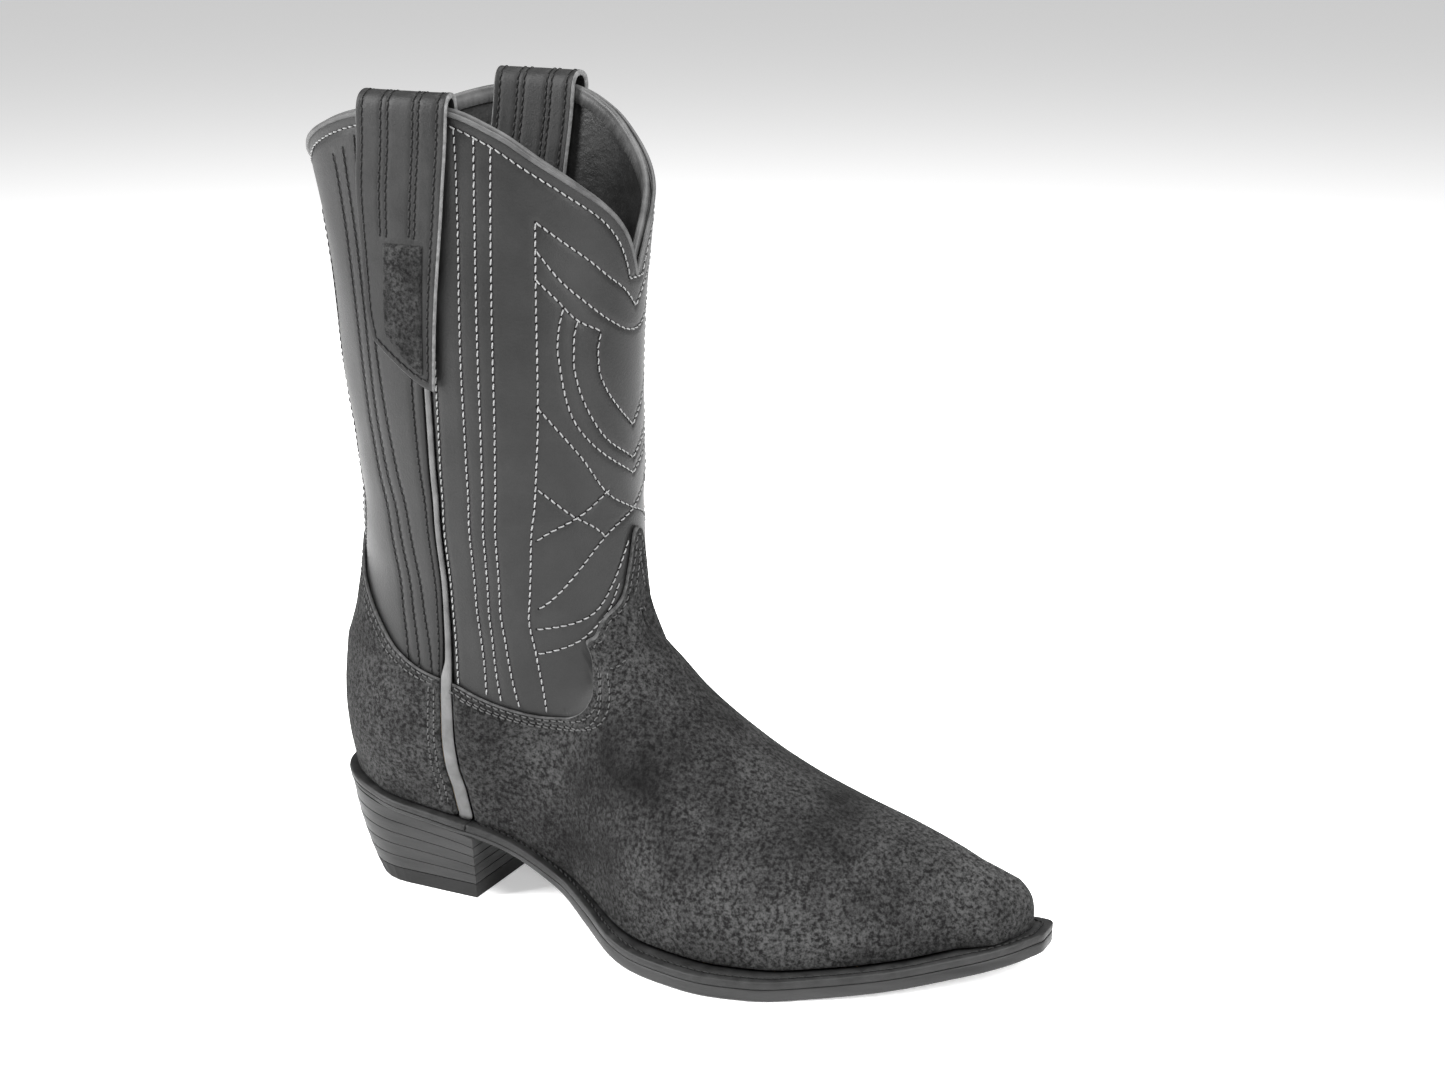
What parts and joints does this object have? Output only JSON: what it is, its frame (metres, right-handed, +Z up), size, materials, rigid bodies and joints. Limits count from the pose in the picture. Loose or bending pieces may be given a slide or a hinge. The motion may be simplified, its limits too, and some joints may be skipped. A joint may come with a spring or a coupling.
{
  "type": "cowboy boot",
  "caption": "Right-foot western pull-on boot: stitched leather shaft with scalloped top and pull straps, rough-out vamp and counter, snip toe, welted sole, underslung stacked heel.",
  "frame": {"origin": "centre of the boot's bounding box, on the plane the heel and sole stand on", "axes": "+X from heel to toe, +Y to the inner side of the foot, +Z up the leg"},
  "size_m": [0.3008, 0.1148, 0.3233],
  "materials": {
    "smooth_leather": "smooth semi-gloss grain",
    "binding_leather": "polished, slightly worn on the bead",
    "rough_leather": "brushed rough-out nap",
    "lining_leather": "soft, lightly creased",
    "stiffener": "pressed fibreboard",
    "interlining": "plain woven backer",
    "insole_leather": "vegetable-tanned, matt",
    "cork": "granulated cork",
    "steel": "sprung strip",
    "edge_leather": "stained and burnished edge",
    "rubber": "moulded matt",
    "brass": "bright"
  },
  "bodies": {
    "root": {"back_lining": "lining_leather", "back_shaft_panel": "smooth_leather", "cork_filler": "cork", "counter_cover": "rough_leather", "front_lining": "lining_leather", "front_shaft_panel": "smooth_leather", "heel_cap": "rubber", "heel_lift_1": "edge_leather", "heel_lift_2": "edge_leather", "heel_lift_3": "edge_leather", "heel_lift_4": "edge_leather", "heel_lift_5": "edge_leather", "heel_nail_1": "brass", "heel_nail_2": "brass", "heel_nail_3": "brass", "heel_nail_4": "brass", "heel_nail_5": "brass", "heel_nail_6": "brass", "heel_nail_7": "brass", "heel_seat_rand": "edge_leather", "heel_stiffener": "stiffener", "insole": "insole_leather", "outsole": "edge_leather", "pull_strap_inner": "smooth_leather", "pull_strap_outer": "smooth_leather", "shank_board": "stiffener", "side_piping_inner": "smooth_leather", "side_piping_outer": "smooth_leather", "sock_liner": "lining_leather", "steel_shank": "steel", "strap_inlay_inner": "rough_leather", "strap_inlay_outer": "rough_leather", "toe_puff": "stiffener", "top_binding_back": "binding_leather", "top_binding_front": "binding_leather", "vamp": "rough_leather", "vamp_interlining": "interlining", "vamp_lining": "lining_leather", "welt": "edge_leather"}
  },
  "joints": []
}
